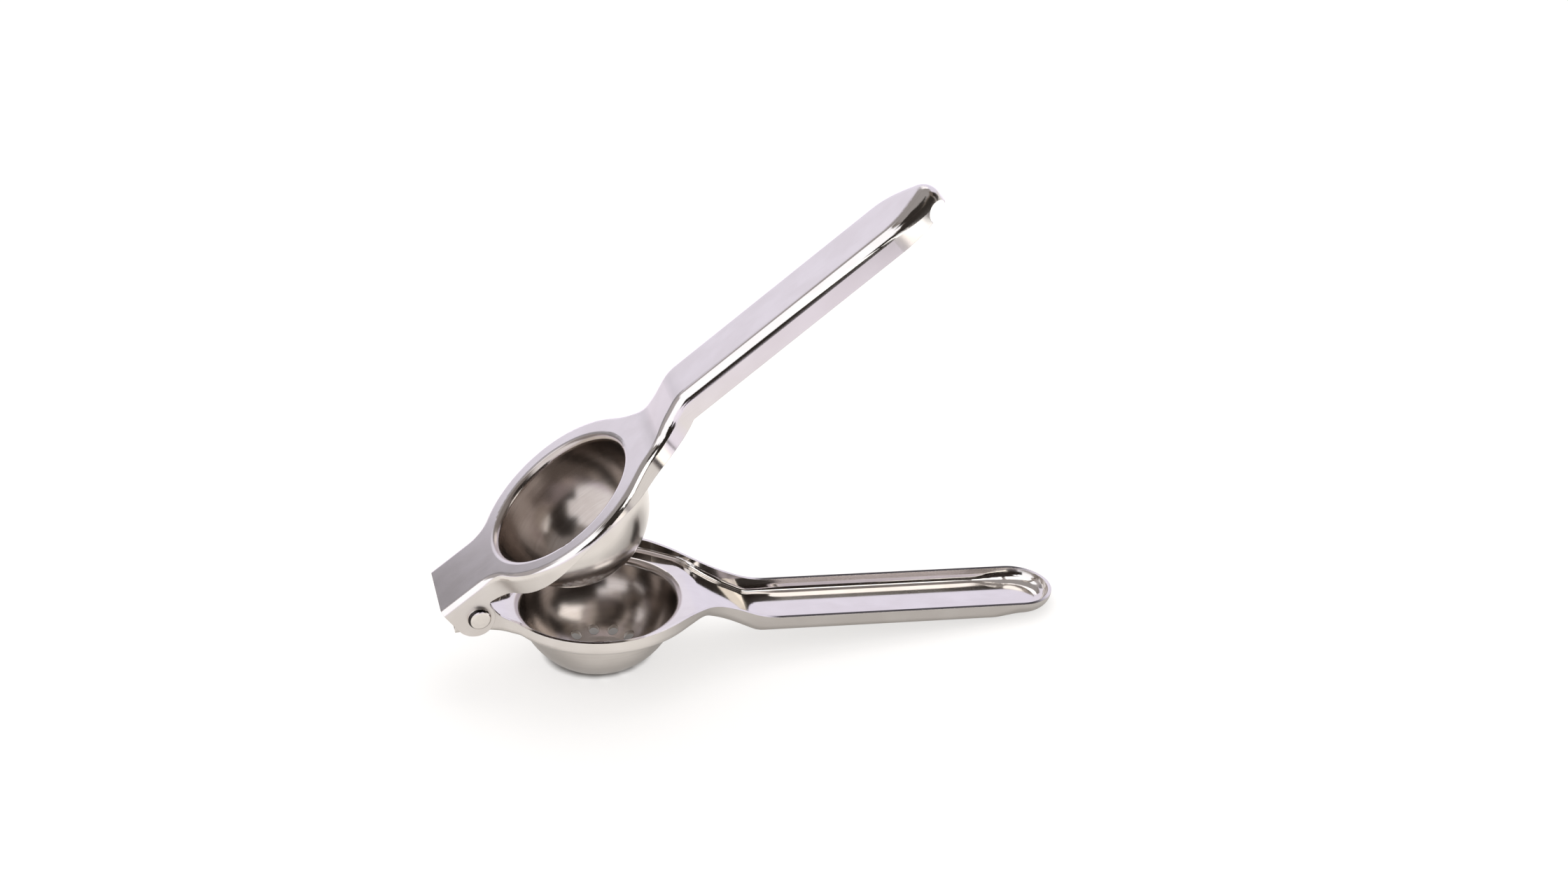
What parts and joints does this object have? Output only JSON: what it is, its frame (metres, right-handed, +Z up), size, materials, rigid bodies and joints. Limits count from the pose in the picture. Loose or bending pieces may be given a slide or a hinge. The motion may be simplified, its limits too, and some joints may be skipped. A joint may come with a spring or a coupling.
{
  "type": "citrus press juicer",
  "caption": "Hand-held stamped steel citrus press: two hinged arms, one with a press cup and one with a perforated strainer bowl.",
  "frame": {"origin": "middle of the strainer bowl's flat base, on the table", "axes": "+X from the hinge towards the handle tips, +Y across the press along the hinge pin, +Z up"},
  "size_m": [0.2174, 0.0698, 0.1651],
  "materials": {
    "satin_steel": "satin with polished rims",
    "rivet_steel": "polished"
  },
  "bodies": {
    "lower": {"lower_arm": "satin_steel"},
    "upper": {"upper_arm": "satin_steel", "hinge_pin": "rivet_steel"}
  },
  "joints": [
    {"name": "arm_hinge", "type": "hinge", "parent": "lower", "child": "upper", "pos_m": [-0.0424, 0, 0.0317], "axis": [0, -1, 0], "range_deg": [-35.5, 53]}
  ]
}
